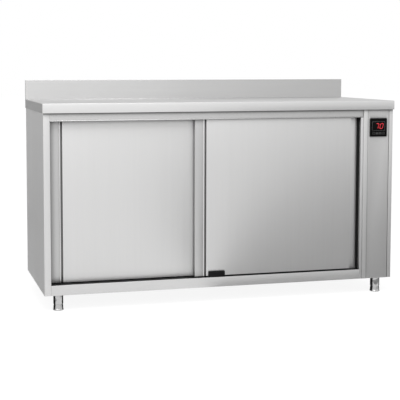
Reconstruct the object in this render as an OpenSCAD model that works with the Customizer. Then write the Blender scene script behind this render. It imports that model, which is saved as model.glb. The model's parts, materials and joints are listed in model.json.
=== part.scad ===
// Plate warmer cabinet: a steel counter with two sliding doors and a service column.
// Millimetres, +Z up, front towards -Y. The origin is on the floor, under the middle.

/* [Overall] */
// Width of the worktop
width = 1600; // [1400:10:1900]
// Depth of the worktop
depth = 600; // [550:10:750]
// Height of the worktop above the floor
work_h = 880; // [800:10:950]
// Height of the rear upstand above the worktop
upstand_h = 90; // [40:5:150]
// Thickness of the folded upstand
upstand_t = 15; // [10:1:25]
// Thickness of the sheet steel
sheet = 1.5; // [1:0.1:2]

/* [Worktop] */
// Height of the folded front and side edges
edge_h = 40; // [30:1:50]
// Thickness of the board under the worktop
core_t = 20; // [14:1:24]
// Overhang of the worktop in front of the cabinet's face
front_over = 8; // [5:1:15]
// Overhang of the worktop at each side
side_over = 3; // [2:0.5:8]

/* [Body] */
// Height of the underside of the body above the floor
leg_h = 68; // [68:1:110]
// Height of the bottom rail
bottom_rail_h = 43; // [35:1:60]
// Visible height of the top rail
top_rail_h = 35; // [30:1:50]
// Width of the left front stile
stile_w = 28; // [24:1:45]
// Width of the right front stile
end_stile_w = 18; // [12:1:30]
// Width of the service column, with the jamb
column_w = 156; // [145:1:220]
// Thickness of the insulation in the back wall
wall_fill = 25; // [20:1:30]
// Thickness of the insulation beside the service column
partition_fill = 18.5; // [16:0.5:25]
// How far the back panel is set in
back_inset = 20; // [20:1:40]
// Width of the trim band beside the jamb
trim_w = 20; // [12:1:30]
// How far the trim band stands proud
trim_proud = 2; // [1:0.5:4]
// Width of the jamb's front face
jamb_w = 12; // [8:1:20]
// Diameter of the bead along the top rail
bead_d = 5; // [3:0.5:7]

/* [Doors] */
// Thickness of a door
door_t = 18; // [16:0.5:22]
// Gap between the two doors
lane_gap = 4; // [4:0.5:6]
// How far the front door lies behind the cabinet's face
door_set = 9; // [9:0.5:14]
// How far the closed doors overlap each other
door_overlap = 104; // [90:1:140]
// Gap between the closed left door and its stile
door_gap = 5; // [3:0.5:10]
// Gap between the right door at rest and the jamb
end_gap = 45; // [30:1:60]
// Gap between the doors and the sill
sill_gap = 6; // [5:0.5:10]
// How far the doors reach up behind the top rail
door_tuck = 15; // [10:1:18]
// Width of the flat part of the grip stile
grip_w = 37; // [30:1:60]
// Diameter of the rolled bead on the grip stile
grip_bead = 6; // [4:0.5:8]
// Width of the finger groove
groove_w = 8; // [8:0.5:20]
// Depth of the finger groove
groove_d = 12.5; // [9:0.5:13]
// Width of the stop post at the end of the rear lane
post_w = 63; // [50:1:80]

/* [Rollers] */
// Radius of a roller
roller_r = 9; // [7:0.5:10]
// Width of a roller
roller_w = 5.5; // [4:0.5:6]
// Radius of a roller's axle
axle_r = 3; // [2:0.5:4]
// Distance of the rollers from the ends of a door
roller_inset = 70; // [50:5:150]
// Radial clearance of a bearing
run_gap = 0.05; // [0.02:0.01:0.1]

/* [Legs] */
// Diameter of a leg tube
leg_d = 42; // [36:1:50]
// Diameter of a foot at the floor
foot_d = 46; // [40:1:60]
// Height of the foot below the leg tube
foot_h = 28; // [20:1:30]
// Distance of the leg centres from the worktop's ends
leg_in_x = 65; // [50:5:120]
// Distance of the front leg centres from the worktop's front edge
leg_in_front = 40; // [35:5:100]
// Distance of the rear leg centres from the worktop's back edge
leg_in_back = 135; // [60:5:160]
// Travel of an adjustable foot
foot_travel = 25; // [10:1:25]

/* [Inside] */
// Height of the shelf above the cavity floor
shelf_z = 340; // [200:5:450]
// Height of the shelf's front and back lips
shelf_lip = 25; // [15:1:40]
// Height of the fan's centre above the cavity floor
fan_z = 190; // [100:5:250]
// Diameter of the air passages
duct_d = 112; // [90:1:116]
// Side of the square fan frame
fan_side = 120; // [118:1:130]
// Depth of the fan frame
fan_t = 38; // [30:1:45]

/* [Controller] */
// Side of the square controller front
ctrl_side = 82; // [60:1:90]
// Thickness of the controller front
ctrl_t = 4; // [3:0.5:6]
// Depth of the controller housing
ctrl_deep = 60; // [40:1:90]
// Distance of the controller's top below the worktop
ctrl_drop = 80; // [60:1:200]

/* [Hidden] */
$fn = 48;
eps = 0.3;

// Planes of the body, from left to right
x_l = -width / 2 + side_over;
x_r = width / 2 - side_over;
x_li = x_l + sheet;
x_ri = x_r - sheet;
x_open = x_l + stile_w;
x_jamb = x_r - column_w;
x_liner = x_open - sheet;
x_part = x_jamb + sheet;
x_plate = x_part + partition_fill;
x_column = x_plate + sheet;
x_trim = x_jamb + jamb_w;
trim_seam = 0.5;
x_panel = x_trim + trim_w + trim_seam;
x_end = x_r - end_stile_w;
seam = 2;
x_panel_end = x_end - seam;

// Planes of the body, from front to back
y_f = -depth / 2;
y_b = depth / 2;
y_face = y_f + front_over;
y_fi = y_face + sheet;
y_back = y_b - back_inset;
y_bi = y_back - sheet;
y_liner = y_bi - wall_fill;
y_li = y_liner - sheet;
y_end = y_b - sheet;

// Lanes of the two doors
y_d1 = y_face + door_set;
y_d2 = y_d1 + door_t + lane_gap;
y_c1 = y_d1 + door_t / 2;
y_c2 = y_d2 + door_t / 2;
rear_gap = 7;
y_cav = y_d2 + door_t + rear_gap;

// Levels, from the floor up
z_sill = leg_h + bottom_rail_h;
z_skin = work_h - sheet;
z_core = z_skin - core_t;
z_edge = work_h - edge_h;
z_head = z_edge - top_rail_h;
z_pan = leg_h + sheet;
z_top = work_h + upstand_h;
ceiling_up = 10;
z_ceil = z_head + ceiling_up;
z_shelf = z_sill + shelf_z;
z_fan = z_sill + fan_z;

// Doors
door_x0 = x_open + door_gap;
door_x1 = x_jamb - end_gap;
door_w = (door_x1 - door_x0 + door_overlap) / 2;
right_x0 = door_x1 - door_w;
door_z0 = z_sill + sill_gap;
door_z1 = z_head + door_tuck;
door_h = door_z1 - door_z0;
skin_t = 1.2;
groove_x = grip_w + grip_bead;
panel_x = groove_x + groove_w;

// Track and rollers
web_t = 2;
tread_up = 3;
tread_z = door_z1 + tread_up;
tread_t = 2;
axle_z = tread_z + tread_t + eps + roller_r;
web_off = 8;
tread_w = 7;
hang_t = 3;
hang_l = 50;
hang_foot = 2;
hang_foot_w = 4;
hang_up = 6;
roller_off = 1.5;
top_t = 3;

// Stop post of the rear lane and the buffer on the jamb
post_gap = 2;
buffer_w = 8;
y_post = y_d1 + door_t + post_gap;
post_x1 = x_jamb - buffer_w;
post_x0 = post_x1 - post_w;
y_post_b = y_d2 + door_t;
reveal_d = 17;

// Legs
leg_x = width / 2 - leg_in_x;
leg_y0 = y_f + leg_in_front;
leg_y1 = y_b - leg_in_back;
leg_at = [[-leg_x, leg_y0], [leg_x, leg_y0], [-leg_x, leg_y1], [leg_x, leg_y1]];
stem_r = 10;
stem_grip = 9;
stem_room = 4;
stem_h = foot_travel + stem_grip;

// Fan and air passages
fan_y = 40;
return_rise = 360;
duct_r = duct_d / 2;
hub_r = 22;
motor_r = 20;
shaft_r = 2.5;
motor_t = 12;
vane_t = 12;
hub_gap = 2;
z_return = z_fan + return_rise;
grille_t = 3;
grille_w = duct_d + 20;

// Heating ring in the lower air passage
heater_r = duct_r - 12;
heater_tube = 4;
heater_up = duct_r + 20;

// Guide block on the sill, where the doors overlap
guide_w = 76;
guide_shift = 46;
guide_x0 = (right_x0 + door_x0 + door_w) / 2 - guide_w / 2 + guide_shift;
guide_x1 = guide_x0 + guide_w;
guide_h = 27;
guide_base = 4;
cheek = 5;

// Shelf uprights and clips
upright_w = 20;
upright_t = 3;
upright_in = 55;
upright_y = [y_cav + upright_in, y_li - upright_in];
clip_l = 14;
clip_w = 18;
clip_h = 12;

// Controller
ctrl_x = (x_panel + x_panel_end) / 2;
ctrl_z = work_h - ctrl_drop - ctrl_side / 2;
ctrl_rim = 2.5;
ctrl_lap = 4;
ctrl_body = ctrl_side - 2 * ctrl_lap;
glass_in = 0.5;

// Cable gland
gland_in = 60;
gland_up = 50;
gland_x = x_column + gland_in;
gland_z = z_sill + gland_up;
gland_bore = 6.5;
gland_r = 10;

// A box given by its lowest and highest corners.
module span(a, b) {
    translate(a) cube(b - a);
}

// A box with a hole along X, for the air passages.
module ducts(x0, x1) {
    for (z = [z_fan, z_return])
        translate([x0 - 1, fan_y, z]) rotate([0, 90, 0]) cylinder(r = duct_r, h = x1 - x0 + 2);
}

module worktop() {
    color("silver") difference() {
        union() {
            span([-width / 2, y_f, z_skin], [width / 2, y_b, work_h]);
            span([-width / 2, y_f, z_edge], [width / 2, y_f + sheet, z_skin]);
            span([-width / 2, y_end, z_edge], [width / 2, y_b, z_skin]);
            for (x = [-width / 2, width / 2 - sheet])
                span([x, y_f + sheet, z_edge], [x + sheet, y_end, z_skin]);
            span([-width / 2, y_b - upstand_t, work_h], [width / 2, y_b, z_top]);
        }
        span([-width / 2 + sheet, y_b - upstand_t + sheet, z_skin - 1],
             [width / 2 - sheet, y_end, z_top - sheet]);
    }
}

module worktop_core() {
    color("burlywood")
        span([-width / 2 + sheet, y_f + sheet, z_core], [width / 2 - sheet, y_end, z_skin]);
}

module side_panel_left() {
    color("silver") span([x_l, y_fi, leg_h], [x_li, y_end, z_core]);
}

module side_panel_right() {
    color("silver") span([x_ri, y_fi, leg_h], [x_r, y_end, z_core]);
}

module back_panel() {
    color("gray") difference() {
        span([x_li, y_bi, leg_h], [x_ri, y_back, z_core]);
        translate([gland_x, y_bi - 1, gland_z]) rotate([-90, 0, 0])
            cylinder(r = gland_r + run_gap, h = sheet + 2);
    }
}

module base_pan() {
    color("gray") span([x_li, y_fi, leg_h], [x_ri, y_bi, z_pan]);
}

module left_stile() {
    color("gainsboro") union() {
        span([x_l, y_face, leg_h], [x_open, y_fi, z_core]);
        span([x_liner, y_fi, z_pan], [x_open, y_cav, z_core]);
    }
}

module right_stile() {
    color("gainsboro") span([x_end, y_face, leg_h], [x_r, y_fi, z_core]);
}

// The bead is cut flat behind the rail where the jamb stands.
module top_rail() {
    bead_in = 1;
    color("gainsboro") difference() {
        union() {
            span([x_open, y_face, z_head], [x_trim, y_fi, z_core]);
            translate([x_open, y_face + bead_in, z_head + bead_d / 2]) rotate([0, 90, 0])
                cylinder(d = bead_d, h = x_trim - x_open);
        }
        span([x_jamb, y_fi, z_head - 1], [x_trim + 1, y_fi + bead_d, z_head + bead_d + 1]);
    }
}

module bottom_rail() {
    color("gainsboro") union() {
        span([x_open, y_face, leg_h], [x_jamb, y_fi, z_sill]);
        span([x_open, y_fi, z_sill - sheet], [x_jamb, y_cav, z_sill]);
    }
}

module right_jamb() {
    color("gainsboro") union() {
        span([x_jamb, y_face, leg_h], [x_trim, y_fi, z_head]);
        span([x_jamb, y_fi, z_pan], [x_part, y_cav, z_core]);
    }
}

module stop_post() {
    color("silver") difference() {
        span([post_x0, y_post, z_sill], [x_jamb, y_post_b, z_head]);
        span([post_x0 + sheet, y_post + sheet, z_sill - 1],
             [post_x1 - sheet, y_post_b - sheet, z_head + 1]);
        span([post_x1, y_post - 1, z_sill - 1], [x_jamb + 1, y_post_b - sheet, z_head + 1]);
    }
}

module jamb_buffer() {
    color("black")
        span([post_x1, y_face + reveal_d, z_sill], [x_jamb, y_post_b - sheet, z_head]);
}

module column_trim() {
    color("white") span([x_trim, y_face - trim_proud, leg_h], [x_trim + trim_w, y_fi, z_core]);
}

module column_panel() {
    cut = ctrl_body / 2 + eps;
    color("silver") difference() {
        span([x_panel, y_face, leg_h], [x_panel_end, y_fi, z_core]);
        span([ctrl_x - cut, y_face - 1, ctrl_z - cut], [ctrl_x + cut, y_fi + 1, ctrl_z + cut]);
    }
}

module left_liner() {
    color("silver") span([x_liner, y_cav, z_sill], [x_open, y_liner, z_ceil]);
}

module right_liner() {
    color("silver") difference() {
        span([x_jamb, y_cav, z_sill], [x_part, y_liner, z_ceil]);
        ducts(x_jamb, x_part);
    }
}

module back_liner() {
    color("silver") span([x_open, y_li, z_sill], [x_jamb, y_liner, z_ceil]);
}

module ceiling_liner() {
    color("silver") span([x_liner, y_cav, z_ceil], [x_part, y_liner, z_ceil + sheet]);
}

module floor_liner() {
    color("silver") span([x_liner, y_cav, z_sill - sheet], [x_part, y_liner, z_sill]);
}

module header_rail() {
    color("silver") span([x_open, y_cav - sheet, z_head], [x_jamb, y_cav, z_core]);
}

// Mineral wool in the left wall, the back, the ceiling, the floor and the partition.
module insulation() {
    slot_r = 15;
    color("khaki") union() {
        span([x_li, y_fi, z_pan], [x_liner, y_bi, z_core]);
        span([x_liner, y_liner, z_pan], [x_part, y_bi, z_core]);
        span([x_liner, y_cav, z_ceil + sheet], [x_part, y_liner, z_core]);
        span([x_liner, y_cav, z_pan], [x_part, y_liner, z_sill - sheet]);
        difference() {
            span([x_part, y_cav, z_pan], [x_plate, y_bi, z_core]);
            ducts(x_part, x_plate);
            span([x_part - 1, fan_y - slot_r, z_fan],
                 [x_plate + 1, fan_y + slot_r, z_fan + heater_up]);
        }
    }
}

module column_plate() {
    color("silver") difference() {
        span([x_plate, y_fi, z_pan], [x_column, y_bi, z_core]);
        ducts(x_plate, x_column);
    }
}

// Two lanes, each with a web and a tread for the rollers, under one top plate.
module door_track() {
    color("lightgray") union() {
        span([x_open, y_c1 - web_off - web_t, z_core - top_t],
             [x_jamb, y_c2 + web_off + web_t, z_core]);
        for (y = [y_c1, y_c2]) {
            span([x_open, y - web_off - web_t, tread_z], [x_jamb, y - web_off, z_core - top_t]);
            span([x_open, y - web_off, tread_z], [x_jamb, y - web_off + tread_w, tread_z + tread_t]);
        }
        span([x_open, y_c2 + web_off, tread_z], [x_jamb, y_c2 + web_off + web_t, z_core - top_t]);
    }
}

module bottom_guide() {
    strip_h = 2.5;
    z0 = z_sill - 1;
    z1 = z_sill + strip_h + 1;
    color("black") difference() {
        span([x_open, y_d1 - 1, z_sill], [x_jamb, y_d2 + door_t - 1, z_sill + strip_h]);
        span([guide_x0, y_face, z0], [guide_x1, y_cav, z1]);
        span([post_x0 - 1, y_post - 1, z0], [x_jamb + 1, y_cav, z1]);
        span([post_x1 - 1, y_face + reveal_d - 1, z0], [x_jamb + 1, y_cav, z1]);
    }
}

// Guide block on the sill: three cheeks that keep both doors in their lanes.
module centre_guide() {
    gap = 0.5;
    round_r = 6;
    y0 = y_d1 - 1 - cheek;
    y1 = y_d2 + door_t + 1;
    color("black") intersection() {
        union() {
            span([guide_x0, y0, z_sill], [guide_x1, y1 + cheek, z_sill + guide_base]);
            span([guide_x0, y0, z_sill], [guide_x1, y0 + cheek, z_sill + guide_h]);
            span([guide_x0, y_d1 + door_t + gap, z_sill], [guide_x1, y_d2 - gap, z_sill + guide_h]);
            span([guide_x0, y1, z_sill], [guide_x1, y1 + cheek, z_sill + guide_h]);
        }
        union() {
            span([guide_x0, y0, z_sill], [guide_x1, y1 + cheek, z_sill + guide_h - round_r]);
            span([guide_x0 + round_r, y0, z_sill], [guide_x1 - round_r, y1 + cheek, z_sill + guide_h]);
            for (x = [guide_x0 + round_r, guide_x1 - round_r])
                translate([x, y0, z_sill + guide_h - round_r]) rotate([-90, 0, 0])
                    cylinder(r = round_r, h = y1 + cheek - y0);
        }
    }
}

// Slotted uprights in the four corners of the cavity, and the clips hooked into them.
module shelf_uprights() {
    pitch = 50;
    slot_w = 6;
    slot_h = 14;
    slots = floor((z_head - z_sill - 2 * pitch) / pitch);
    color("silver") difference() {
        for (y = upright_y, x = [x_open, x_jamb - upright_t])
            span([x, y - upright_w / 2, z_sill], [x + upright_t, y + upright_w / 2, z_ceil]);
        for (y = upright_y, x = [x_open, x_jamb - upright_t], i = [1 : slots])
            span([x - 1, y - slot_w / 2, z_sill + i * pitch],
                 [x + upright_t + 1, y + slot_w / 2, z_sill + i * pitch + slot_h]);
    }
}

module shelf_clips() {
    color("gray") for (y = upright_y, x = [x_open + upright_t, x_jamb - upright_t - clip_l])
        span([x, y - clip_w / 2, z_shelf - clip_h], [x + clip_l, y + clip_w / 2, z_shelf]);
}

// The shelf lies on the clips, so it can be lifted off them.
module shelf() {
    side_gap = 3;
    end_room = 12;
    x0 = x_open + upright_t + side_gap;
    x1 = x_jamb - upright_t - side_gap;
    y0 = y_cav + end_room;
    y1 = y_li - end_room;
    vents = 9;
    vent_pitch = (x1 - x0) / (vents + 1);
    vent_l = 60;
    vent_w = 8;
    vent_in = 80;
    color("silver") difference() {
        union() {
            span([x0, y0, z_shelf], [x1, y1, z_shelf + sheet]);
            span([x0, y0, z_shelf - shelf_lip], [x1, y0 + sheet, z_shelf]);
            span([x0, y1 - sheet, z_shelf - shelf_lip], [x1, y1, z_shelf]);
        }
        for (i = [1 : vents], y = [y0 + vent_in, y1 - vent_in - vent_l], x = x0 + i * vent_pitch)
            span([x - vent_w / 2, y, z_shelf - 1], [x + vent_w / 2, y + vent_l, z_shelf + sheet + 1]);
    }
}

// Slotted covers over the two air passages, on the cavity side.
module air_grilles() {
    slits = 8;
    slit_pitch = duct_d / slits;
    slit_w = 0.4 * slit_pitch;
    slit_in = 8;
    color("silver") difference() {
        for (z = [z_fan, z_return])
            span([x_jamb - grille_t, fan_y - grille_w / 2, z - grille_w / 2],
                 [x_jamb, fan_y + grille_w / 2, z + grille_w / 2]);
        for (z = [z_fan, z_return], i = [0.5 : slits], zc = z - duct_r + i * slit_pitch)
            span([x_jamb - grille_t - 1, fan_y - duct_r + slit_in, zc - slit_w / 2],
                 [x_jamb + 1, fan_y + duct_r - slit_in, zc + slit_w / 2]);
    }
}

module at_fan(x) {
    translate([x, fan_y, z_fan]) rotate([0, 90, 0]) children();
}

// Square frame with a round duct; four arms carry the motor at its outer end.
module fan_frame() {
    arm_t = 4;
    arm_w = 8;
    arm_l = duct_d + 4;
    color("dimgray") union() {
        difference() {
            span([x_column, fan_y - fan_side / 2, z_fan - fan_side / 2],
                 [x_column + fan_t, fan_y + fan_side / 2, z_fan + fan_side / 2]);
            at_fan(x_column - 1) cylinder(r = duct_r, h = fan_t + 2);
        }
        difference() {
            for (a = [45, 135])
                at_fan(x_column + fan_t - arm_t) rotate([0, 0, a])
                    translate([-arm_l / 2, -arm_w / 2, 0]) cube([arm_l, arm_w, arm_t]);
            at_fan(x_column + fan_t - arm_t - 1) cylinder(r = motor_r, h = arm_t + 2);
        }
    }
}

module fan_motor() {
    shaft_l = vane_t + 2 * hub_gap;
    color("black") union() {
        at_fan(x_column + fan_t - motor_t) cylinder(r = motor_r, h = motor_t);
        at_fan(x_column + fan_t - motor_t - shaft_l) cylinder(r = shaft_r, h = shaft_l + 1);
    }
}

// Hub with seven pitched vanes, on the motor's shaft.
module fan_impeller() {
    vanes = 7;
    pitch_deg = 35;
    vane_w = 16;
    vane_sheet = 1.6;
    root = 3;
    tip_gap = 4;
    vane_l = duct_r - hub_r + root - tip_gap;
    x0 = x_column + fan_t - motor_t - vane_t - hub_gap;
    color("black") difference() {
        union() {
            at_fan(x0) cylinder(r = hub_r, h = vane_t);
            for (i = [0 : vanes - 1])
                at_fan(x0 + vane_t / 2) rotate([0, 0, i * 360 / vanes])
                    translate([0, hub_r - root, 0]) rotate([0, pitch_deg, 0])
                        translate([-vane_w / 2, 0, -vane_sheet / 2]) cube([vane_w, vane_l, vane_sheet]);
        }
        at_fan(x0 - 1) cylinder(r = shaft_r + run_gap, h = vane_t + 2);
    }
}

// Ring of heating tube in the lower air passage, hung from its two legs.
module heater_element() {
    leg_off = 10;
    leg_r = 3;
    leg_in = 2;
    x = (x_part + x_plate) / 2;
    color("dimgray") union() {
        at_fan(x) rotate_extrude() translate([heater_r, 0]) circle(r = heater_tube);
        for (y = [-leg_off, leg_off])
            translate([x, fan_y + y, z_fan + heater_r - leg_in])
                cylinder(r = leg_r, h = heater_up - heater_r + leg_in);
    }
}

module safety_thermostat() {
    flange_r = 14;
    flange_t = 4;
    body_r = 9;
    body_t = 16;
    color("white") translate([x_column, fan_y, z_fan + fan_side]) rotate([0, 90, 0]) union() {
        cylinder(r = flange_r, h = flange_t);
        cylinder(r = body_r, h = body_t);
    }
}

module terminal_block() {
    poles = 4;
    pole = 10;
    block_w = 24;
    block_h = 20;
    hole_r = 3;
    hole_up = 8;
    x0 = x_column + 30;
    y0 = y_bi - 70;
    color("ivory") difference() {
        span([x0, y0, z_pan], [x0 + poles * pole, y0 + block_w, z_pan + block_h]);
        for (i = [0.5 : poles])
            translate([x0 + i * pole, y0 + block_w / 2, z_pan + hole_up])
                cylinder(r = hole_r, h = block_h);
    }
}

// Gland of the supply cable, through the back panel, with its lock nut inside.
module cable_gland() {
    hex_r = 13;
    hex_t = 7;
    nut_t = 6;
    out = 16;
    color("black") translate([gland_x, y_back, gland_z]) rotate([-90, 0, 0]) difference() {
        union() {
            cylinder(r = hex_r, h = hex_t, $fn = 6);
            cylinder(r = gland_r, h = out);
            translate([0, 0, -sheet - nut_t]) cylinder(r = gland_r, h = sheet + nut_t + 1);
            translate([0, 0, -sheet - nut_t]) cylinder(r = hex_r, h = nut_t, $fn = 6);
        }
        translate([0, 0, -sheet - nut_t - 1]) cylinder(r = gland_bore, h = out + sheet + nut_t + 2);
    }
}

module ctrl_box(side, y0, y1) {
    span([ctrl_x - side / 2, y0, ctrl_z - side / 2], [ctrl_x + side / 2, y1, ctrl_z + side / 2]);
}

module controller_housing() {
    color("black") ctrl_box(ctrl_body, y_face, y_face + ctrl_deep);
}

module controller_bezel() {
    color("black") difference() {
        ctrl_box(ctrl_side, y_face - ctrl_t, y_face);
        ctrl_box(ctrl_side - 2 * ctrl_rim, y_face - ctrl_t - 1, y_face + 1);
    }
}

module controller_glass() {
    color("black") ctrl_box(ctrl_side - 2 * ctrl_rim, y_face - ctrl_t + glass_in, y_face);
}

module leg_tubes() {
    color("silver") difference() {
        for (p = leg_at) translate([p.x, p.y, foot_h]) cylinder(d = leg_d, h = leg_h - foot_h);
        for (p = leg_at) translate([p.x, p.y, foot_h - 1])
            cylinder(r = stem_r + run_gap, h = stem_h + stem_room);
    }
}

// Screw-in foot: a flared base, a waist under the tube and a stem inside it.
module foot(p) {
    base_h = 6;
    shoulder = 1.5;
    flare = 0.8;
    neck_h = 7;
    waist_h = 4;
    foot_r = foot_d / 2;
    waist_r = leg_d / 2 - shoulder;
    color("silver") translate([p.x, p.y, 0]) rotate_extrude() polygon([
        [0, 0], [foot_r - 1, 0], [foot_r, 1], [foot_r, base_h - 1],
        [foot_r - shoulder, base_h + 1], [waist_r + flare, foot_h - neck_h],
        [waist_r, foot_h - waist_h], [waist_r, foot_h - eps], [stem_r, foot_h - eps],
        [stem_r, foot_h + stem_h], [0, foot_h + stem_h]
    ]);
}

// Folded stile at the left edge of a door, with a rolled bead beside the finger groove.
module door_grip(x0, y0) {
    bead_r = grip_bead / 2;
    set_back = 1;
    color("silver") union() {
        span([x0, y0 + set_back, door_z0], [x0 + grip_w, y0 + door_t, door_z1]);
        span([x0 + grip_w, y0 + bead_r, door_z0], [x0 + groove_x, y0 + door_t, door_z1]);
        translate([x0 + grip_w + bead_r, y0 + bead_r, door_z0]) cylinder(r = bead_r, h = door_h);
    }
}

module door_groove(x0, y0) {
    color("dimgray") span([x0 + groove_x, y0 + groove_d, door_z0], [x0 + panel_x, y0 + door_t, door_z1]);
}

// Tray of sheet steel round the door's core, open at the back.
module door_pan(x0, y0) {
    color("silver") difference() {
        span([x0 + panel_x, y0, door_z0], [x0 + door_w, y0 + door_t, door_z1]);
        span([x0 + panel_x + skin_t, y0 + skin_t, door_z0 + skin_t],
             [x0 + door_w - skin_t, y0 + door_t + 1, door_z1 - skin_t]);
    }
}

module door_core(x0, y0) {
    color("khaki") span([x0 + panel_x + skin_t, y0 + skin_t, door_z0 + skin_t],
                        [x0 + door_w - skin_t, y0 + door_t, door_z1 - skin_t]);
}

function roller_x(x0) = [x0 + roller_inset, x0 + door_w - roller_inset];

// Two hangers on a door's top edge, each with the axle of its roller.
module door_hangers(x0, yc) {
    axle_l = eps + roller_w + roller_off + hang_t / 2;
    color("gray") for (x = roller_x(x0)) union() {
        span([x - hang_l / 2, yc - hang_foot_w, door_z1],
             [x + hang_l / 2, yc + hang_t, door_z1 + hang_foot]);
        span([x - hang_l / 2, yc, door_z1], [x + hang_l / 2, yc + hang_t, axle_z + hang_up]);
        translate([x, yc - roller_off - roller_w - eps, axle_z]) rotate([-90, 0, 0])
            cylinder(r = axle_r, h = axle_l);
    }
}

module roller(x, yc) {
    color("white") translate([x, yc - roller_off - roller_w, axle_z])
        rotate([-90, 0, 0]) difference() {
            cylinder(r = roller_r, h = roller_w);
            translate([0, 0, -1]) cylinder(r = axle_r + run_gap, h = roller_w + 2);
        }
}

// Screw heads on the back panel.
module screws() {
    head_r = 5;
    crown_r = 3.5;
    head_t = 2.5;
    from_edge = 25;
    columns = 6;
    step = (x_ri - x_li - 2 * from_edge) / (columns - 1);
    color("gray") for (i = [0 : columns - 1], z = [leg_h + from_edge, z_edge - from_edge])
        translate([x_li + from_edge + i * step, y_back, z]) rotate([-90, 0, 0]) union() {
            cylinder(r = head_r, h = head_t / 2);
            cylinder(r = crown_r, h = head_t);
        }
}

worktop();
worktop_core();
side_panel_left();
side_panel_right();
back_panel();
base_pan();
left_stile();
right_stile();
top_rail();
bottom_rail();
right_jamb();
stop_post();
jamb_buffer();
column_trim();
column_panel();
left_liner();
right_liner();
back_liner();
ceiling_liner();
floor_liner();
header_rail();
insulation();
column_plate();
door_track();
bottom_guide();
centre_guide();
shelf_uprights();
shelf_clips();
shelf();
air_grilles();
fan_frame();
fan_motor();
fan_impeller();
heater_element();
safety_thermostat();
terminal_block();
cable_gland();
controller_housing();
controller_bezel();
controller_glass();
leg_tubes();
foot(leg_at[0]);  // foot_front_left
foot(leg_at[1]);  // foot_front_right
foot(leg_at[2]);  // foot_back_left
foot(leg_at[3]);  // foot_back_right
door_grip(door_x0, y_d2);  // left_door_grip
door_groove(door_x0, y_d2);  // left_door_groove
door_pan(door_x0, y_d2);  // left_door_pan
door_core(door_x0, y_d2);  // left_door_core
door_hangers(door_x0, y_c2);  // left_door_hangers
door_grip(right_x0, y_d1);  // right_door_grip
door_groove(right_x0, y_d1);  // right_door_groove
door_pan(right_x0, y_d1);  // right_door_pan
door_core(right_x0, y_d1);  // right_door_core
door_hangers(right_x0, y_c1);  // right_door_hangers
roller(roller_x(door_x0)[0], y_c2);  // left_door_roller_a
roller(roller_x(door_x0)[1], y_c2);  // left_door_roller_b
roller(roller_x(right_x0)[0], y_c1);  // right_door_roller_a
roller(roller_x(right_x0)[1], y_c1);  // right_door_roller_b
screws();
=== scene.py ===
# %% [markdown]
# # A stainless plate warmer cabinet
# The construction of the cabinet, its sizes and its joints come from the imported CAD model, which is
# loaded as a fixed frame. This lesson adds the looks: folded edges with their small radii, a satin
# steel with a fine grain, polished legs, a black glass controller, and a plain studio around it.

# %% Load the frame
import json
import math

import bmesh
import bpy
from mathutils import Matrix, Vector


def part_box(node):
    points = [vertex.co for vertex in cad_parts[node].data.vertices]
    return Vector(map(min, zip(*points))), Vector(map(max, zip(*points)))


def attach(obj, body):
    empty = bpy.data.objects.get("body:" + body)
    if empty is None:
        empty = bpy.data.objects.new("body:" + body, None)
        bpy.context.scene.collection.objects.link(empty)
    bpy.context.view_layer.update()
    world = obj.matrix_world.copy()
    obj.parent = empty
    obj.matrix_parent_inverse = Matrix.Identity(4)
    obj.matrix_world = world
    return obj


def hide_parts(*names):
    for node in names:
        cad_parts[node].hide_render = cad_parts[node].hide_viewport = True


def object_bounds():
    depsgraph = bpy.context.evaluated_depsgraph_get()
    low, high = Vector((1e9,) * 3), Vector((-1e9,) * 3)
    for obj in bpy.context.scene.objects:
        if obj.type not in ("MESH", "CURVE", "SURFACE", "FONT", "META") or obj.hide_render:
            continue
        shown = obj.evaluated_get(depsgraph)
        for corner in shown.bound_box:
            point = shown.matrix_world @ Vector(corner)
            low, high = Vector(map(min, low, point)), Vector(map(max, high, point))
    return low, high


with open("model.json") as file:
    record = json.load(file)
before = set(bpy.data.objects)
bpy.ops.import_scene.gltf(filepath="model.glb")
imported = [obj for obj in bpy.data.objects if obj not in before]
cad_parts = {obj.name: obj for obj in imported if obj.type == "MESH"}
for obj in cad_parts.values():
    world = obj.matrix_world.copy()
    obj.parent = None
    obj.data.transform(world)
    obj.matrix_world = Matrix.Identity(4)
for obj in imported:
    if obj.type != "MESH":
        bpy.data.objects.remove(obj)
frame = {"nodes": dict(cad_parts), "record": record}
cad_lo, cad_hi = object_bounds()
body_of = {n: b for b, nodes in frame["record"]["behaviour"]["bodies"].items() for n in nodes}
slot_of = {s["node"]: s["material_slot"] for s in frame["record"]["subparts"]}
MM = 0.001
print("CAD box", [round(v, 4) for v in cad_hi - cad_lo], "with", len(frame["nodes"]), "nodes")

# %% [markdown]
# ## Shader maths as Python
# A material in Blender is a graph of nodes. Building it by hand takes many lines, so one small class
# wraps a socket and lets us write `0.3 + 0.1 * grain`. Each operator adds one Math node, and the
# reflected forms make `1 - mask` work too. Every other node comes from the `make` method.

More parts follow.
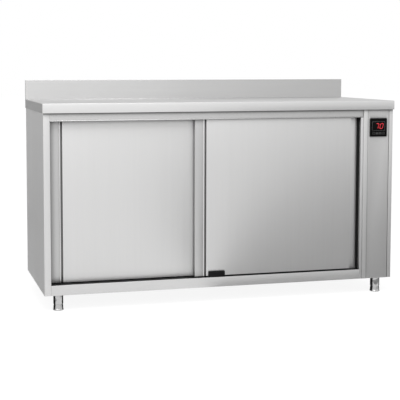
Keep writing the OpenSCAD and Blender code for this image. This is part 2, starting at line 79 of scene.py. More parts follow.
# %% Wrap a socket
class Value:
    """One output of a shader node, for use in Python expressions."""

    def __init__(self, tree, socket=None):
        self.tree, self.socket = tree, socket

    def make(self, kind, settings=None, values=None, out=0):
        """Adds a node: its settings first, then the values or links of its sockets."""
        node = self.tree.nodes.new(kind)
        for key, value in (settings or {}).items():
            if key == "stops":
                set_stops(node.color_ramp, value)
            else:
                setattr(node, key, value)
        for key, value in (values or {}).items():
            if isinstance(value, Value):
                self.tree.links.new(value.socket, node.inputs[key])
            else:
                node.inputs[key].default_value = value
        return Value(self.tree, node.outputs[out])

    def math(self, operation, a, b):
        return self.make("ShaderNodeMath", {"operation": operation}, {0: a, 1: b})

    def __add__(self, other):
        return self.math("ADD", self, other)

    def __sub__(self, other):
        return self.math("SUBTRACT", self, other)

    def __mul__(self, other):
        return self.math("MULTIPLY", self, other)

    def __radd__(self, other):
        return self.math("ADD", other, self)

    def __rsub__(self, other):
        return self.math("SUBTRACT", other, self)

    def __rmul__(self, other):
        return self.math("MULTIPLY", other, self)


def set_stops(ramp, stops):
    """Gives a colour ramp its stops, each a place and a grey level."""
    while len(ramp.elements) < len(stops):
        ramp.elements.new(1)
    for element, (place, level) in zip(ramp.elements, stops):
        element.position = place
        element.color = (level, level, level, 1)


trial = bpy.data.node_groups.new("trial", "ShaderNodeTree")
mask = Value(trial).make("ShaderNodeValue")
rest = 1 - 0.5 * mask
print("1 - 0.5 * mask ends in", rest.socket.node.operation, "after", len(trial.nodes), "nodes")
bpy.data.node_groups.remove(trial)

# %% [markdown]
# ## The frame of a material
# Each finish is a Principled shader. The function below starts one, gives the recipe a `Value` to
# build with, and connects what the recipe returns, such as colour, roughness and the tilt of the
# fine relief. Places are taken from Object coordinates, so the grain stays on a piece as it moves.

# %% Start a material
VIEWPORT_GREY = 0.6


def grey(level, warmth=0.0):
    """A nearly neutral colour: warmth moves it towards yellow."""
    return (level * (1 + warmth), level, level * (1 - warmth), 1)


def finish_material(name, recipe, **constants):
    """A material whose recipe returns the varying sockets; constants are set on the shader."""
    material = bpy.data.materials.new(name)
    material.use_nodes = True
    tree = material.node_tree
    shader = tree.nodes["Principled BSDF"]
    for socket, value in constants.items():
        shader.inputs[socket.replace("_", " ")].default_value = value
    net = Value(tree)
    place = net.make("ShaderNodeTexCoord", out="Object")
    for socket, value in recipe(net, place).items():
        tree.links.new(value.socket, shader.inputs[socket])
    material.diffuse_color = grey(VIEWPORT_GREY)
    return material


def count_materials(title):
    print(title, "- materials so far:", len(bpy.data.materials))


count_materials("before the first finish")

# %% [markdown]
# ## Three helpers for every recipe
# Nearly every finish is noise that is mixed between two colours and pressed into the surface. Wood,
# brushed metal and fibres are the same noise drawn out along one axis, so the helper takes a stretch.
# Colours are mixed with a Mix node, because a Math node would turn them grey.

# %% Noise, colour and relief
def noise(net, place, scale, stretch=(1, 1, 1), detail=2.0):
    """Noise of a given scale in features per metre, drawn out along the small axes of stretch."""
    drawn = net.make("ShaderNodeVectorMath", {"operation": "MULTIPLY"}, {0: place, 1: stretch})
    return net.make("ShaderNodeTexNoise", None, {"Vector": drawn, "Scale": scale, "Detail": detail})


def mix_colour(net, factor, a, b):
    return net.make("ShaderNodeMix", {"data_type": "RGBA"}, {"Factor": factor, 6: a, 7: b}, out=2)


def relief(net, height, depth, strength):
    """Tilts the surface as if the height stood out by depth, in metres."""
    return net.make("ShaderNodeBump", None,
                    {"Height": height, "Distance": depth, "Strength": strength})


print("helpers:", noise.__name__, mix_colour.__name__, relief.__name__)

# %% [markdown]
# ## Satin stainless steel
# Stainless sheet for kitchens is ground with a belt, which leaves a fine grain in one direction. From
# two metres the grain is barely seen as lines, but it spreads the reflections, so the sheet shows soft
# gradients and no mirror image. An anisotropic shader could do that, but its tangent would have to
# suit each mesh, so three noises make it here: long fine lines, broader bands along the grain, and
# slow clouds where the sheet was handled. Where another piece stands within CREVICE of the sheet, the
# sheet sees less of the room, and that shade is painted into its colour as a darker tone. The painted
# shade is at its darkest once that share is down to SHUT_AT.

# %% The recipe for satin steel
DRAWN_OUT = 0.012
GRAIN = {"x": (DRAWN_OUT, 1, 1), "z": (1, 1, DRAWN_OUT)}
LINES, BANDS, CLOUDS = 900, 70, 2.2
CREVICE, SHUT_AT, PAINTED_SHADE_LEVEL = 30 * MM, 0.68, 0.2
STEEL_WARMTH = 0.003


def satin_steel(name, level=0.68, rough=0.42, along="x", metal=0.88, corners=0.0):
    """Corners is the share of painted shade, a dark tone where another piece stands close to the sheet."""
    def recipe(net, place):
        line = noise(net, place, LINES, GRAIN[along], 3.0)
        band = noise(net, place, BANDS, GRAIN[along])
        cloud = noise(net, place, CLOUDS, detail=3.0)
        tone = 0.45 * line + 0.25 * band + 0.3 * cloud
        dark, light = grey(level * 0.93, STEEL_WARMTH), grey(level * 1.05, STEEL_WARMTH)
        colour = mix_colour(net, tone, dark, light)
        # Painted shade: ambient occlusion darkens the colour where another piece stands close.
        if corners:
            open_sky = net.make("ShaderNodeAmbientOcclusion", {"samples": 8},
                                {"Distance": CREVICE}, out="AO")
            painted_shade = net.make("ShaderNodeMapRange", None,
                            {0: open_sky, 1: SHUT_AT, 2: 1.0, 3: corners, 4: 0.0})
            colour = mix_colour(net, painted_shade, colour, grey(level * PAINTED_SHADE_LEVEL))
        return {
            "Base Color": colour,
            "Roughness": rough - 0.05 + 0.06 * line + 0.07 * cloud,
            "Normal": relief(net, line + 0.5 * band, 0.04 * MM, 0.35),
        }
    return finish_material(name, recipe, Metallic=metal)


print("satin steel:", " or ".join(GRAIN), "grain, its lines", round(1 / LINES / MM, 1), "mm wide")

# %% [markdown]
# ## The steels of this cabinet
# All sheet is the same steel, yet no two pieces look alike: each faces the light in its own way. So
# each group of pieces gets its own level of grey, as painted light and shade: lighter and darker
# copies of one steel. The rails, stiles, sill and service column sit close to other pieces, and get
# painted shade in their corners as well.

# %% Steels for the body
steel_z = satin_steel("satin_steel_upright", along="z")
# Painted shade: darker rail, column and worktop copies, and corners. Painted highlight: the edge.
steel_rail_shaded = satin_steel("rail_shaded_steel", level=0.55, along="x", corners=0.85)
steel_frame = satin_steel("frame_steel", along="z", corners=0.85)
steel_column = satin_steel("column_shaded_steel", level=0.6, along="z", corners=0.85)
steel_sill = satin_steel("sill_steel", level=0.66, along="x", corners=1.0)
steel_edge_highlight = satin_steel("worktop_edge_painted_highlight", level=0.72, along="x")
steel_top_shaded = satin_steel("worktop_shaded_steel", level=0.5, along="x")
steel_inner = satin_steel("inner_steel", level=0.55, rough=0.45, along="x")
heater_metal = satin_steel("heater_sheath", level=0.28, rough=0.45, along="z", metal=0.8)
count_materials("satin steels")

# %% [markdown]
# ## Galvanised sheet
# The back and the underside are galvanised: the sheet was dipped in zinc, which freezes in flat
# crystals. A picture could show them, but would repeat, so a Voronoi pattern gives each cell its own
# tone. A ramp then pulls the tones apart, because neighbouring crystals differ clearly.

# %% Zinc
SPANGLES, ZINC_CLOUDS = 55.0, 6


def galvanised(name, level=0.56):
    def recipe(net, place):
        cell = net.make("ShaderNodeTexVoronoi", None, {"Vector": place, "Scale": SPANGLES}, out="Color")
        tone = net.make("ShaderNodeSeparateColor", None, {0: cell})
        cloud = noise(net, place, ZINC_CLOUDS, detail=3.0)
        mixed = 0.55 * tone + 0.45 * cloud
        stops = ((0.3, level * 0.86), (0.7, level * 1.06))
        return {
            "Base Color": net.make("ShaderNodeValToRGB", {"stops": stops}, {"Fac": mixed}),
            "Roughness": 0.38 + 0.16 * tone,
            "Normal": relief(net, mixed, 0.05 * MM, 0.3),
        }
    return finish_material(name, recipe, Metallic=0.9)


zinc = galvanised("galvanised_sheet")
count_materials("zinc")

# %% [markdown]
# ## Polished tube and extruded aluminium
# The legs are polished tube, nearly a mirror. Polishing turns the tube, so its fine lines run round
# it. The door track is pressed through a die, which draws lines along its length. Both are a noise
# with one direction, as the sheet's grain is, only shinier.

# %% Polished steel and aluminium
TURNING_LINES, SMEARS, DIE_LINES = 500, 25, 700
ROUND_THE_TUBE = (0.05, 0.05, 1)


def polished_steel(name, level=0.52):
    def recipe(net, place):
        turning = noise(net, place, TURNING_LINES, ROUND_THE_TUBE)
        smear = noise(net, place, SMEARS)
        return {
            "Base Color": mix_colour(net, smear, grey(level * 0.94), grey(level * 1.04)),
            "Roughness": 0.1 + 0.06 * turning + 0.06 * smear,
            "Normal": relief(net, turning, 0.03 * MM, 0.25),
        }
    return finish_material(name, recipe, Metallic=1.0)


def extruded_aluminium(name, level=0.7):
    def recipe(net, place):
        die_line = noise(net, place, DIE_LINES, GRAIN["x"])
        dark, light = grey(level * 0.9, -0.01), grey(level * 1.05, -0.01)
        return {
            "Base Color": mix_colour(net, die_line, dark, light),
            "Roughness": 0.32 + 0.12 * die_line,
            "Normal": relief(net, die_line, 0.06 * MM, 0.4),
        }
    return finish_material(name, recipe, Metallic=1.0)


polished = polished_steel("polished_tube")
aluminium = extruded_aluminium("track_aluminium")
count_materials("other metals")

# %% [markdown]
# ## Plastic and rubber
# Moulded plastic has a fine spark-eroded texture that catches the light as tiny grains. Rubber is
# duller and a little uneven. One recipe serves both, with a coarser and deeper grain for rubber.

# %% Moulded pieces
def moulded(name, colour, rough=0.45, speckle=900, depth=0.08 * MM, shine=0.5):
    def recipe(net, place):
        grain = noise(net, place, speckle)
        cloud = noise(net, place, scale=12)
        dark = tuple(c * 0.85 for c in colour[:3]) + (1,)
        return {
            "Base Color": mix_colour(net, 0.5 * grain + 0.5 * cloud, dark, colour),
            "Roughness": rough - 0.06 + 0.12 * grain,
            "Normal": relief(net, grain, depth, 0.5),
        }
    return finish_material(name, recipe, Specular_IOR_Level=shine)


black_plastic = moulded("black_plastic", (0.007, 0.007, 0.0075, 1), rough=0.5, shine=0.12)
white_plastic = moulded("white_plastic", (0.78, 0.77, 0.74, 1))
black_rubber = moulded("black_rubber", (0.008, 0.008, 0.008, 1), rough=0.75, speckle=500,
                       depth=0.15 * MM, shine=0.12)
count_materials("plastic and rubber")

# %% [markdown]
# ## Wool and board
# Mineral wool is a mat of fibres, and the board under the worktop shows its wood grain where the edge
# is open. Both are fibres, so both are a drawn-out noise between a dark and a light colour.

# %% Fibres
WOOL_STRETCH, BOARD_STRETCH = (1, 1, 0.3), (0.05, 1, 1)


def fibres(name, dark, light, stretch, scale=160):
    def recipe(net, place):
        fibre = noise(net, place, scale, stretch, 4.0)
        cloud = noise(net, place, scale=15, detail=3.0)
        return {
            "Base Color": mix_colour(net, 0.6 * fibre + 0.4 * cloud, dark, light),
            "Roughness": 0.75 + 0.2 * fibre,
            "Normal": relief(net, fibre, 0.6 * MM, 0.7),
        }
    return finish_material(name, recipe)


wool = fibres("mineral_wool", (0.34, 0.28, 0.13, 1), (0.62, 0.55, 0.33, 1), WOOL_STRETCH)
board = fibres("laminated_board", (0.28, 0.18, 0.1, 1), (0.5, 0.36, 0.22, 1), BOARD_STRETCH, 300)
count_materials("wool and board")

# %% [markdown]
# ## Black glass, ink and red light
# The controller's front is a sheet of black glass, so it is a dark gloss with faint smears that show
# mostly in the roughness. The frame and keys are thin grey ink. The digits are light: an emission
# colour, a little uneven, as the diffuser in front of the lamps makes it.

# %% Glass, ink and light
def black_glass(name):
    def recipe(net, place):
        smear = noise(net, place, scale=60, stretch=(1, 1, 0.4), detail=3.0)
        return {
            "Base Color": mix_colour(net, smear, grey(0.002), grey(0.005)),
            "Roughness": 0.05 + 0.08 * smear,
        }
    return finish_material(name, recipe, Specular_IOR_Level=0.05)


def printed_grey(name, level=0.22):
    def recipe(net, place):
        ink = noise(net, place, scale=800)
        return {
            "Base Color": mix_colour(net, ink, grey(level * 0.8), grey(level * 1.15)),
            "Roughness": 0.3 + 0.1 * ink,
        }
    return finish_material(name, recipe)


def lit_segment(name, colour, strength):
    def recipe(net, place):
        diffuser = noise(net, place, scale=300, detail=1.0)
        edge = tuple(c * 0.8 for c in colour[:3]) + (1,)
        return {
            "Base Color": mix_colour(net, diffuser, edge, colour),
            "Emission Color": mix_colour(net, diffuser, edge, colour),
            "Roughness": 0.4 + 0.1 * diffuser,
        }
    return finish_material(name, recipe, Emission_Strength=strength)


glass = black_glass("controller_glass_black")
key_ink = printed_grey("key_ink")
red_light = lit_segment("red_digits", (0.6, 0.025, 0.035, 1), strength=0.4)
count_materials("glass, ink and light")

# %% [markdown]
# ## Folding the sheet
# CAD solids have knife-sharp edges, and real sheet metal never has: a fold has a radius near the
# thickness of the sheet, and that radius draws the thin light line that the eye reads as metal. The
# frame's faces are cut into triangles, so they are joined again first, and a bevel then rounds only
# the real edges. A bevel in the shader would be quicker, but it would not be in the mesh.

# %% Round the edges
WELD = 0.01 * MM
FLAT_ANGLE, FOLD_ANGLE, SHARP_ANGLE = math.radians(1), math.radians(40), math.radians(50)


def tidy_faces(mesh):
    """Joins the triangles of each flat face into one polygon."""
    work = bmesh.new()
    work.from_mesh(mesh)
    bmesh.ops.remove_doubles(work, verts=work.verts, dist=WELD)
    bmesh.ops.dissolve_limit(work, angle_limit=FLAT_ANGLE, verts=work.verts, edges=work.edges)
    work.to_mesh(mesh)
    work.free()


def smooth(obj, angle):
    obj.data.shade_smooth()
    obj.data.set_sharp_from_angle(angle=angle)


def round_edges(obj, radius, segments):
    """Rounds the sharp edges for good: the modifier is applied to the mesh."""
    modifier = obj.modifiers.new("fold", "BEVEL")
    modifier.width = radius
    modifier.segments = segments
    modifier.limit_method = "ANGLE"
    modifier.angle_limit = FOLD_ANGLE
    graph = bpy.context.evaluated_depsgraph_get()
    rounded = bpy.data.meshes.new_from_object(obj.evaluated_get(graph))
    obj.modifiers.clear()
    obj.data = rounded
    smooth(obj, SHARP_ANGLE)


print("edges over", round(math.degrees(FOLD_ANGLE)), "degrees are rounded")

# %% [markdown]
# ## Dressing a node
# Each visible node is copied and rounded. The copy stands for the node from then on, and rides on the
# same body, so it moves with its joint.

# %% Dress a node
dressed = {}


def add_piece(name, mesh, material, body):
    obj = bpy.data.objects.new(name, mesh)
    bpy.context.scene.collection.objects.link(obj)
    obj.data.materials.clear()
    obj.data.materials.append(material)
    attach(obj, body)
    return obj


def dress(node, material, radius, segments=3):
    """A copy of a node with rounded edges, which stands for the node."""
    mesh = frame["nodes"][node].data.copy()
    tidy_faces(mesh)
    piece = add_piece(node + "_piece", mesh, material, body_of[node])
    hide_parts(node)
    round_edges(piece, radius, segments)
    dressed[node] = piece
    return piece


print("nodes to dress or to finish:", len(frame["nodes"]))

# %% [markdown]
# ## The worktop and the body
# The worktop is one folded sheet: top, front and side edges, and the upstand. Its folds get a radius
# of 1.2 mm, and the rails, stiles and panels get less. The grain runs along each piece, as it comes
# off the roll.

# %% Sheet pieces of the body
FOLDS = {
    "worktop": (steel_top_shaded, 1.2),
    "side_panel_left": (steel_z, 0.5),
    "side_panel_right": (steel_z, 0.5),
    "left_stile": (steel_frame, 0.6),
    "right_stile": (steel_frame, 0.6),
    "top_rail": (steel_rail_shaded, 0.6),
    "bottom_rail": (steel_sill, 0.7),
    "right_jamb": (steel_z, 0.6),
    "stop_post": (steel_z, 0.5),
    "column_trim": (steel_frame, 1.2),
    "column_panel": (steel_column, 0.5),
    "header_rail": (steel_inner, 0.5),
    "shelf": (steel_inner, 0.6),
    "jamb_buffer": (black_rubber, 1.5),
    "bottom_guide": (black_plastic, 0.5),
    "centre_guide": (black_plastic, 0.4),
}
for node, (material, radius) in FOLDS.items():
    dress(node, material, radius * MM)
print("dressed", len(dressed), "body pieces")

# %% [markdown]
# ## The worktop's bright edge
# The folded front edge of the worktop is turned towards the light, and reads as the brightest line of
# the cabinet. It is the same sheet as the top, so it stays one piece, and only the faces near the
# front get a second, brighter copy of the steel: a painted highlight.

# %% The front edge
EDGE_IN = 3 * MM


def second_finish(piece, material, wanted):
    """Gives the faces that are wanted, judged by their middle, a second material."""
    piece.data.materials.append(material)
    chosen = [face for face in piece.data.polygons if wanted(face.center)]
    for face in chosen:
        face.material_index = 1
    print(piece.name, "has", len(chosen), "faces of", material.name)


# Painted highlight: the front edge gets a lighter copy of the worktop's steel.
second_finish(dressed["worktop"], steel_edge_highlight, lambda middle: middle.y < cad_lo.y + EDGE_IN)

# %% [markdown]
# ## The doors
# Each door is a tray of sheet round an insulated core, with a folded grip at its left edge: a flat
# stile, a rolled bead and a finger groove. The bead gets a lighter copy of the steel, a painted
# highlight, and the groove a nearly black one, painted shade, which makes the two fine lines beside
# each skin. The grip is a darker copy with painted shade in its corners, and the right skin a darker
# copy, painted shade. Both doors are made by the same loop.

# %% Both sliding doors
BEAD_D = 6 * MM
# Painted shade: the darker right skin and grip, and the groove. Painted highlight: the bead.
steel_skin = {"left": steel_z, "right": satin_steel("right_skin_shaded_steel", level=0.64, along="z")}
steel_grip_shaded = satin_steel("grip_shaded_steel", level=0.54, along="z", corners=0.5)
steel_bead_highlight = satin_steel("bead_painted_highlight", level=0.76, rough=0.3, along="z")
steel_shade = satin_steel("groove_painted_shade", level=0.2, along="z")
for side in ("left", "right"):
    dress(side + "_door_pan", steel_skin[side], 1.1 * MM)
    dress(side + "_door_groove", steel_shade, 0.3 * MM, 2)
    grip = dress(side + "_door_grip", steel_grip_shaded, 0.8 * MM)
    bead_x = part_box(side + "_door_grip")[1].x - BEAD_D
    second_finish(grip, steel_bead_highlight, lambda middle: middle.x > bead_x)

# %% [markdown]
# ## Legs and feet
# The legs are polished tubes, and the feet are turned: a flat base, a flare, a waist and a thread
# inside the tube. They could be turned again here from a profile, but the frame's nodes are already
# round, so a small bevel on the rims is enough.

# %% Legs and feet
CORNERS = ("front_left", "front_right", "back_left", "back_right")
dress("leg_tubes", polished, 0.6 * MM, 2)
for corner in CORNERS:
    dress("foot_" + corner, polished, 0.4 * MM, 2)
foot_lo, foot_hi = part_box("foot_front_left")
print("a foot is", round((foot_hi.x - foot_lo.x) / MM, 1), "mm wide at its base")

# %% [markdown]
# ## The other nodes
# The pieces inside the cabinet, and the panels at its back and underside, keep their CAD shape. Each
# gets the finish that its slot in the frame's record names.

# %% Finish the other nodes
FINISHES = {
    "inner_steel": steel_inner, "satin_steel": steel_z, "galvanised": zinc,
    "polished_steel": polished, "board": board, "mineral_wool": wool,
    "track_aluminium": aluminium, "black_plastic": black_plastic, "white_plastic": white_plastic,
    "black_rubber": black_rubber, "black_gloss": glass, "heater_tube": heater_metal,
}
for node, obj in frame["nodes"].items():
    obj.data.materials.clear()
    obj.data.materials.append(FINISHES[slot_of[node]])
print("finished", len(frame["nodes"]), "nodes with", len(FINISHES), "materials")

# %% [markdown]
# ## The controller
# A square black frame holds a sheet of dark glass. Both are copies of the frame's nodes with rounded
# rims. Everything printed or lit lies on the glass, so its middle is the origin of what follows.

# %% Controller front
dress("controller_bezel", glass, 1.6 * MM, 4)
dress("controller_glass", glass, 0.8 * MM)
glass_lo, glass_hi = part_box("controller_glass")
glass_mid = (glass_lo + glass_hi) / 2
print("the glass is", [round(v / MM, 1) for v in glass_hi - glass_lo], "mm")

# %% [markdown]
# ## Thin shapes on the glass
# Print and light could be a texture, but a texture has to be unwrapped and blurs when one looks
# closely. As thin solids they stay sharp. Each outline becomes a face, and the face is pushed out.

# %% Flat shapes
INK_UP = 0.12 * MM


def flat_shapes(name, outlines, material):
    """Thin shapes on the glass. Each outline is a list of points from the glass's middle."""
    work = bmesh.new()
    for outline in outlines:
        ring = [work.verts.new((glass_mid.x + x, glass_lo.y, glass_mid.z + z)) for x, z in outline]
        face = work.faces.new(ring)
        moved = bmesh.ops.extrude_face_region(work, geom=[face])["geom"]
        corners = [v for v in moved if isinstance(v, bmesh.types.BMVert)]
        bmesh.ops.translate(work, verts=corners, vec=(0, -INK_UP, 0))
    bmesh.ops.recalc_face_normals(work, faces=work.faces)
    mesh = bpy.data.meshes.new(name)
    work.to_mesh(mesh)
    work.free()
    add_piece(name, mesh, material, "cabinet")
    print(name, "has", len(outlines), "shapes")


print("thin shapes stand", round(INK_UP / MM, 2), "mm off the glass")

# %% [markdown]
# ## The lit digits
# The display shows a temperature in slanted digits of seven segments. Each segment is a thin bar with
# pointed ends, so neighbours meet at a hairline gap, as on a real display. The figures are plain.

# %% Seven segments
def bar(a, b, half, slant):
    """A segment from a to b with pointed ends, leaning by slant."""
    along = (b - a).normalized()
    across = Vector((-along.y, along.x)) * half
    inner_a, inner_b = a + along * half, b - along * half
    points = [a, inner_a + across, inner_b + across, b, inner_b - across, inner_a - across]
    return [(p.x + slant * p.y, p.y) for p in points]


SEGMENTS = {"a": ((0, 2), (1, 2)), "b": ((1, 2), (1, 1)), "c": ((1, 1), (1, 0)),
            "d": ((0, 0), (1, 0)), "e": ((0, 1), (0, 0)), "f": ((0, 2), (0, 1))}
SHOWN = {"7": "abc", "0": "abcdef"}
DIGIT_W, DIGIT_H, DIGIT_GAP = 13.5 * MM, 22.5 * MM, 8.5 * MM
DIGIT_Z, DIGIT_RIGHT = 6 * MM, 2 * MM
BAR_HALF, END_GAP, SLANT = 1.6 * MM, 0.04, 0.25
digits = []
for i, figure in enumerate("70"):
    left = (i - 1) * (DIGIT_W + DIGIT_GAP) + DIGIT_GAP / 2 + DIGIT_RIGHT
    for name in SHOWN[figure]:
        a, b = (Vector((left + x * DIGIT_W, DIGIT_Z + (z - 1) * DIGIT_H / 2)) for x, z in SEGMENTS[name])
        shrink = (b - a) * END_GAP
        digits.append(bar(a + shrink, b - shrink, BAR_HALF, SLANT))
flat_shapes("controller_digits", digits, red_light)

# %% [markdown]
# ## The printed frame and keys
# A hairline frame goes round the digits, and four touch keys stand below it. Two of the keys carry an
# arrow, up and down. Every frame is four strips, so that it is open in the middle.

# %% Printed marks
def strip(x0, z0, x1, z1):
    return [(x0, z0), (x1, z0), (x1, z1), (x0, z1)]


def box_outline(x, z, w, h, line):
    """Four strips round a window of half width w and half height h."""
    left, right, bottom, top = x - w, x + w, z - h, z + h
    return [strip(left, bottom, right, bottom + line),
            strip(left, top - line, right, top),
            strip(left, bottom + line, left + line, top - line),
            strip(right - line, bottom + line, right, top - line)]


LINE = 0.5 * MM
FRAME_W, FRAME_H = 31 * MM, 20.5 * MM
KEYS, KEY_Z, KEY_W, KEY_H, KEY_STEP = 4, -26.5 * MM, 5.5 * MM, 4.4 * MM, 15.5 * MM
ARROW_W, ARROW_DOWN, ARROW_UP = 2.2 * MM, 1.5 * MM, 2 * MM
marks = box_outline(0, DIGIT_Z, FRAME_W, FRAME_H, LINE)
key_places = [(i - (KEYS - 1) / 2) * KEY_STEP for i in range(KEYS)]
for x in key_places:
    marks += box_outline(x, KEY_Z, KEY_W, KEY_H, LINE)
for x, turn in ((key_places[1], 1), (key_places[2], -1)):
    foot_z, tip_z = KEY_Z - turn * ARROW_DOWN, KEY_Z + turn * ARROW_UP
    marks.append([(x - ARROW_W, foot_z), (x + ARROW_W, foot_z), (x, tip_z)][::turn])
flat_shapes("controller_marks", marks, key_ink)

# %% [markdown]
# ## Where the screws are
# The back panel is held by pan-head screws. The frame keeps them all in one node, so the mesh is split
# into its islands, and the middle of each island is the place of one screw.

# %% Find the screws
def screw_places():
    """The middles of the screw heads, found as the separate islands of the node."""
    work = bmesh.new()
    work.from_mesh(frame["nodes"]["screws"].data)
    bmesh.ops.remove_doubles(work, verts=work.verts, dist=WELD)
    seen, middles = set(), set()
    for vert in work.verts:
        if vert in seen:
            continue
        island, todo = [], [vert]
        while todo:
            v = todo.pop()
            if v in seen:
                continue
            seen.add(v)
            island.append(v.co.copy())
            todo += [e.other_vert(v) for e in v.link_edges]
        x = sum(p.x for p in island) / len(island)
        z = sum(p.z for p in island) / len(island)
        middles.add((round(x, 4), round(z, 4)))
    work.free()
    return sorted(middles)


places = screw_places()
print("screws:", len(places))

# %% [markdown]
# ## A screw head
# A cross recess is too small for the frame, so each head is turned here: rings of points rise from
# the rim to the top of the dome, and the points that lie in the cross are pressed down.

# %% Turn the heads
HEAD_R, HEAD_WELD, HEAD_SHARP = 5.0 * MM, 0.005 * MM, math.radians(40)
HEAD_SIDES, HEAD_RINGS = 32, 6
RIM, CROSS_HALF, CROSS_R, CROSS_DEEP = 0.35, 0.13, 0.62, 0.55
screw_lo, screw_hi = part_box("screws")
head_h = screw_hi.y - screw_lo.y


def pan_head(work, x, z):
    """A domed head, turned round Y, with a cross-shaped recess pressed in."""
    previous = None
    for k in range(HEAD_RINGS + 1):
        angle = math.pi / 2 * k / HEAD_RINGS
        r, up = HEAD_R * math.cos(angle), head_h * (RIM + (1 - RIM) * math.sin(angle))
        ring = []
        for i in range(HEAD_SIDES):
            a = 2 * math.pi * i / HEAD_SIDES
            dx, dz = r * math.cos(a), r * math.sin(a)
            in_arm = min(abs(dx), abs(dz)) < HEAD_R * CROSS_HALF
            in_cross = in_arm and math.hypot(dx, dz) < HEAD_R * CROSS_R
            y = screw_lo.y + up - (head_h * CROSS_DEEP if in_cross else 0)
            ring.append(work.verts.new((x + dx, y, z + dz)))
        if previous is None:
            previous = [work.verts.new((v.co.x, screw_lo.y, v.co.z)) for v in ring]
            work.faces.new(previous)
        for i in range(HEAD_SIDES):
            j = (i + 1) % HEAD_SIDES
            work.faces.new((previous[i], previous[j], ring[j], ring[i]))
        previous = ring
    work.faces.new(previous[::-1])


work = bmesh.new()
for x, z in places:
    pan_head(work, x, z)
bmesh.ops.remove_doubles(work, verts=work.verts, dist=HEAD_WELD)
bmesh.ops.recalc_face_normals(work, faces=work.faces)
mesh = bpy.data.meshes.new("back_screws")
work.to_mesh(mesh)
work.free()
screws = add_piece("back_screws", mesh, zinc, "cabinet")
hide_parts("screws")
smooth(screws, HEAD_SHARP)
print("screw heads:", len(screws.data.polygons), "faces")

# %% [markdown]
# ## The floor
# The floor is pale and plain. A white floor in the photograph's way would need so much light that the
# steel would clip, so the rays that see it directly, from the camera or by a reflection, mostly see
# an even white. A part of its real shading is kept, and that part carries the cabinet's shadow.

# %% Floor
FLOOR_SIZE, FLOOR_WHITE, SHADOW_KEPT = 60, 1.13, 0.2


def seen_directly(net):
    """One for camera, glossy and transmission rays, and zero for the rays that carry soft light."""
    rays = [net.make("ShaderNodeLightPath", out="Is %s Ray" % kind)
            for kind in ("Camera", "Glossy", "Transmission")]
    return net.make("ShaderNodeMath", {"operation": "MINIMUM"}, {0: sum(rays), 1: 1.0})


def floor_recipe(net, place):
    tone = noise(net, place, scale=3, detail=3.0)
    return {"Base Color": mix_colour(net, tone, grey(0.86), grey(0.9)),
            "Roughness": 0.7 + 0.1 * tone}


floor_material = finish_material("studio_floor", floor_recipe)
tree = floor_material.node_tree
net = Value(tree)
white = net.make("ShaderNodeEmission", None, {"Color": (1, 1, 1, 1), "Strength": FLOOR_WHITE})
shaded = Value(tree, tree.nodes["Principled BSDF"].outputs[0])
surface = net.make("ShaderNodeMixShader", None,
                   {0: seen_directly(net) * (1 - SHADOW_KEPT), 1: shaded, 2: white})
tree.links.new(surface.socket, tree.nodes["Material Output"].inputs["Surface"])
bpy.ops.mesh.primitive_plane_add(size=FLOOR_SIZE, location=(0, 0, 0))
floor = bpy.context.object
floor.name = "studio_floor"
floor.data.materials.append(floor_material)
print("the floor keeps", SHADOW_KEPT, "of its real shading")

# %% [markdown]
# ## The room
# The world is a white room to whoever looks at it, and a dimmer one to the surfaces that it lights,
# so the background is white and the steel still has its tones.

# %% World
SOFT_LEVEL = 0.55
world = bpy.data.worlds.new("studio")
bpy.context.scene.world = world
world.use_nodes = True
net = Value(world.node_tree)
room = mix_colour(net, seen_directly(net), grey(SOFT_LEVEL), (1, 1, 1, 1))
world.node_tree.links.new(room.socket, world.node_tree.nodes["Background"].inputs["Color"])
print("the room's soft light is", SOFT_LEVEL)

# %% [markdown]
# ## Flags
# In a white room, sheet metal looks like paper. Photographers stand dark cards, called flags, where
# the metal mirrors them, and the sheet then falls softly from light to dark. Here they lie in front
# of the cabinet towards the right, at its left and under it, and one stands at the back left. They
# are hidden from the camera and cast no shadow. The one under the cabinet is painted shade: it stands
# for the cabinet's shade on the floor, which reflections would otherwise see nearly white.

# %% Large flags
def flag(name, corners, level):
    """A card that only reflections see."""
    mesh = bpy.data.meshes.new(name)
    mesh.from_pydata(corners, [], [(0, 1, 2, 3)])
    card = bpy.data.objects.new(name, mesh)
    bpy.context.scene.collection.objects.link(card)

    def recipe(net, place):
        felt = noise(net, place, scale=400)
        return {"Base Color": mix_colour(net, felt, grey(level * 0.9), grey(level * 1.1))}

    mesh.materials.append(finish_material(name + "_felt", recipe, Roughness=0.9))
    card.visible_camera = card.visible_diffuse = card.visible_shadow = False
    card.visible_transmission = card.visible_volume_scatter = False


LOW = 6 * MM
FLAGS = {
    "flag_right_near": (0.33, [(-0.05, -0.33, LOW), (3, -0.33, LOW), (3, -1.3, LOW), (0.25, -1.3, LOW)]),
    "flag_right_far": (0.4, [(0.25, -1.3, LOW), (3.5, -1.3, LOW), (8, -6, 0.7), (2, -6, 0.05)]),
    # The card under the cabinet is painted shade: the cabinet's shade on the floor, for reflections.
    "flag_under": (0.05, [(-0.77, -0.24, LOW), (0.77, -0.24, LOW), (0.77, 0.27, LOW), (-0.77, 0.27, LOW)]),
    "flag_left_near": (0.5, [(-0.83, -0.4, LOW), (-5, -0.4, LOW), (-5, 3, LOW), (-0.83, 3, LOW)]),
    "flag_left_far": (0.58, [(-0.83, 3, LOW), (-5, 3, LOW), (-5, 3, 1.8), (-0.83, 3, 1.8)]),
}
for name, (level, corners) in FLAGS.items():
    flag(name, corners, level)
print("large flags:", len(FLAGS))

# %% [markdown]
# ## Cards round the legs
# A polished tube in a white room has no edges. Three low cards stand round each leg, at its sides and
# behind it as seen from outside, and draw a dark line down both sides of the tube.

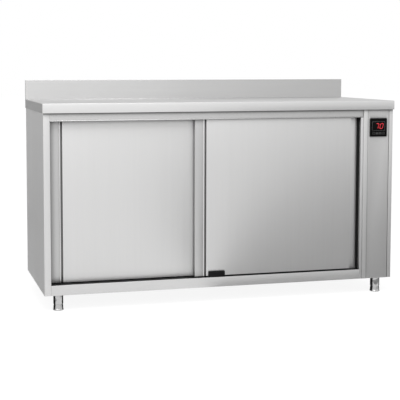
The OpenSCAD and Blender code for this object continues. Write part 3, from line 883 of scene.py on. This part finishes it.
# %% Leg cards
CARD_OFF, CARD_FRONT, CARD_H, CARD_LEVEL = 48 * MM, 20 * MM, 85 * MM, 0.06
for corner in CORNERS:
    foot_lo, foot_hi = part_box("foot_" + corner)
    x, y = (foot_lo.x + foot_hi.x) / 2, (foot_lo.y + foot_hi.y) / 2
    inward = 1 if y < 0 else -1
    near, far = y - CARD_FRONT * inward, y + CARD_OFF * inward
    left, right = x - CARD_OFF, x + CARD_OFF
    for side, (xa, ya, xb, yb) in {"left": (left, near, left, far),
                                   "right": (right, near, right, far),
                                   "behind": (left, far, right, far)}.items():
        flag("flag_%s_%s" % (corner, side),
             [(xa, ya, LOW), (xb, yb, LOW), (xb, yb, CARD_H), (xa, ya, CARD_H)], CARD_LEVEL)

# %% [markdown]
# ## Lamps
# The white room gives most of the light. Two large soft lamps add a direction: one from the ceiling
# for the worktop, and one from the left for the doors.

# %% Lamps
def soft_lamp(name, place, target, size, power):
    data = bpy.data.lights.new(name, "AREA")
    data.size, data.energy = size, power
    lamp = bpy.data.objects.new(name, data)
    bpy.context.scene.collection.objects.link(lamp)
    lamp.location = place
    lamp.rotation_euler = (Vector(target) - Vector(place)).to_track_quat("-Z", "Y").to_euler()


soft_lamp("window_left", place=(-3.2, -3.6, 3.4), target=(0, 0, 0.4), size=3.0, power=45)
soft_lamp("ceiling", place=(-0.4, -2.2, 4.0), target=(0, 0, 0.5), size=2.0, power=90)
print("lamps:", len(bpy.data.lights))

# %% [markdown]
# ## The camera
# The photograph looks at the cabinet from the left, from a little above the worktop. It seems to be
# cut from the side of a wider picture, which a large shift would match. Every other view keeps the
# shift, and would lose the cabinet, so the shift is small here, and the camera stands further away
# and looks down a little. Shift and height were chosen, the height so that more of the worktop
# shows. The other numbers come from a fit to points of the cabinet in the photograph.

# %% Camera
FRAME_PX, SENSOR_MM = 400, 36.0
CAMERA_AT = (-1.376, -4.567, 1.035)
CAMERA_YAW, CAMERA_PITCH = 14.74, 4.53
FOCAL_PX = 1031.2
CAMERA_SHIFT = (0.075, -0.13)
camera_data = bpy.data.cameras.new("camera")
camera = bpy.data.objects.new("camera", camera_data)
bpy.context.scene.collection.objects.link(camera)
bpy.context.scene.camera = camera
camera_data.sensor_width = SENSOR_MM
camera_data.lens = FOCAL_PX / FRAME_PX * SENSOR_MM
camera_data.shift_x, camera_data.shift_y = CAMERA_SHIFT
camera.location = CAMERA_AT
camera.rotation_euler = (math.radians(90 - CAMERA_PITCH), 0, math.radians(-CAMERA_YAW))
bpy.context.scene.view_settings.view_transform = "Standard"
print("lens", round(camera_data.lens, 1), "mm, camera", CAMERA_AT)
